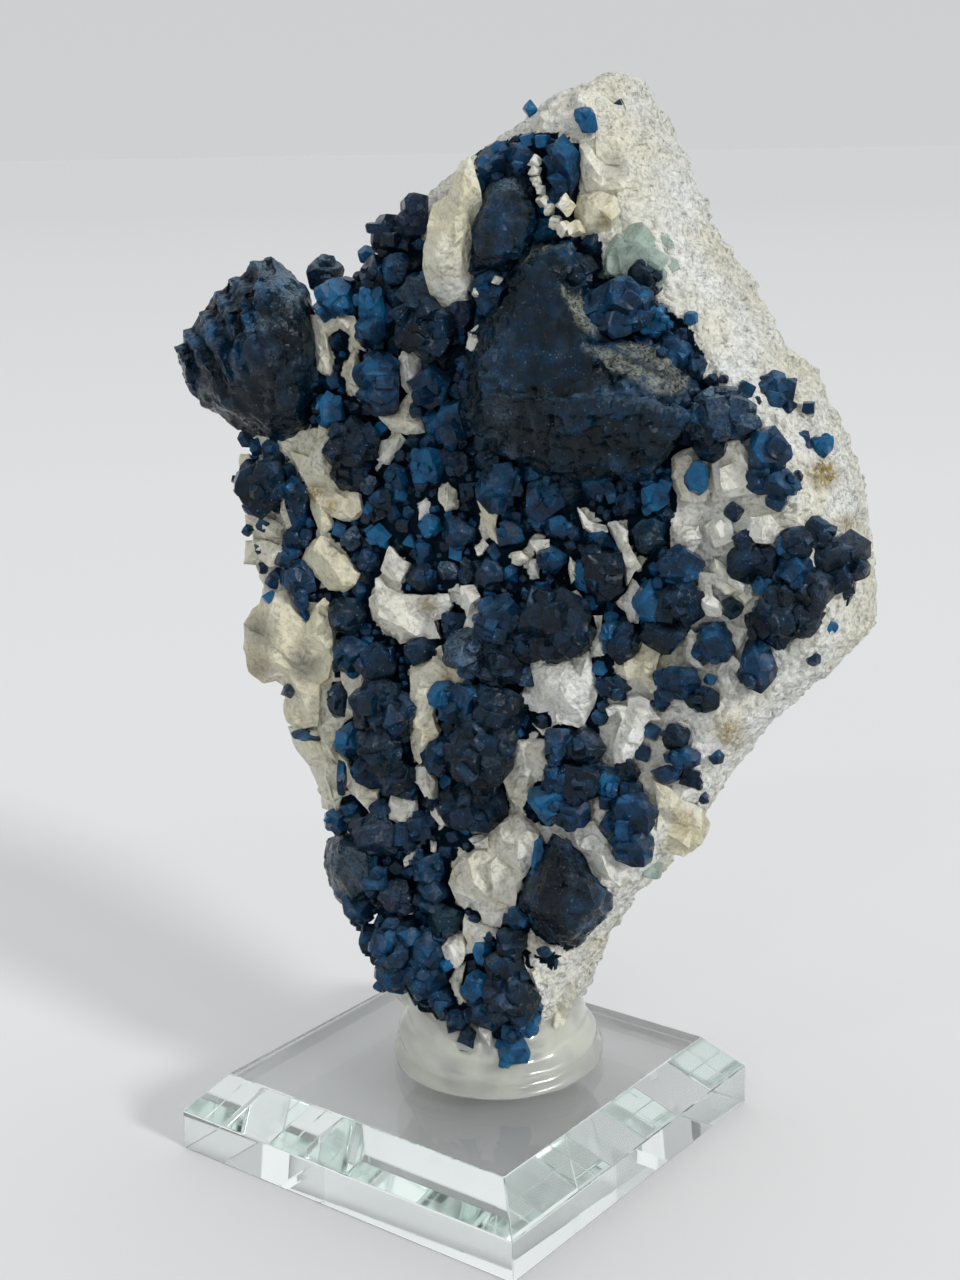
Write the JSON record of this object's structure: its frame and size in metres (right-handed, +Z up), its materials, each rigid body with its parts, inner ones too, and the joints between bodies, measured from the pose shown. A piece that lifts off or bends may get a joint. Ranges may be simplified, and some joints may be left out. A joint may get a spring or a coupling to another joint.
{
  "type": "azurite specimen",
  "caption": "Upright mineral specimen: a pale rock slab crusted with deep blue crystals, its tip held in a putty mound on a bevelled clear glass plate.",
  "frame": {"origin": "centre of the glass plate's underside", "axes": "+Z up through the specimen's tip, X and Y along the plate's sides; the crystal face looks towards -Y, turned 12.5 degrees towards +X"},
  "size_m": [0.0802, 0.05, 0.1262],
  "materials": {
    "glass": "polished",
    "putty": "gloss",
    "matrix_rock": "matte",
    "blue_crystal": "gloss",
    "green_crystal": "satin"
  },
  "bodies": {
    "root": {"glass_base": "glass", "putty_mound": "putty", "matrix": "matrix_rock", "blue_cluster_01": "blue_crystal", "blue_cluster_02": "blue_crystal", "blue_cluster_03": "blue_crystal", "blue_cluster_04": "blue_crystal", "blue_cluster_05": "blue_crystal", "blue_cluster_06": "blue_crystal", "blue_crystal_07": "blue_crystal", "blue_crystal_08": "blue_crystal", "blue_crystal_09": "blue_crystal", "blue_crystal_10": "blue_crystal", "blue_crystal_11": "blue_crystal", "blue_crystal_12": "blue_crystal", "blue_crystal_13": "blue_crystal", "blue_crystal_14": "blue_crystal", "blue_crystal_15": "blue_crystal", "blue_crystal_16": "blue_crystal", "blue_crystal_17": "blue_crystal", "blue_crystal_18": "blue_crystal", "green_crystal_1": "green_crystal"}
  },
  "joints": []
}
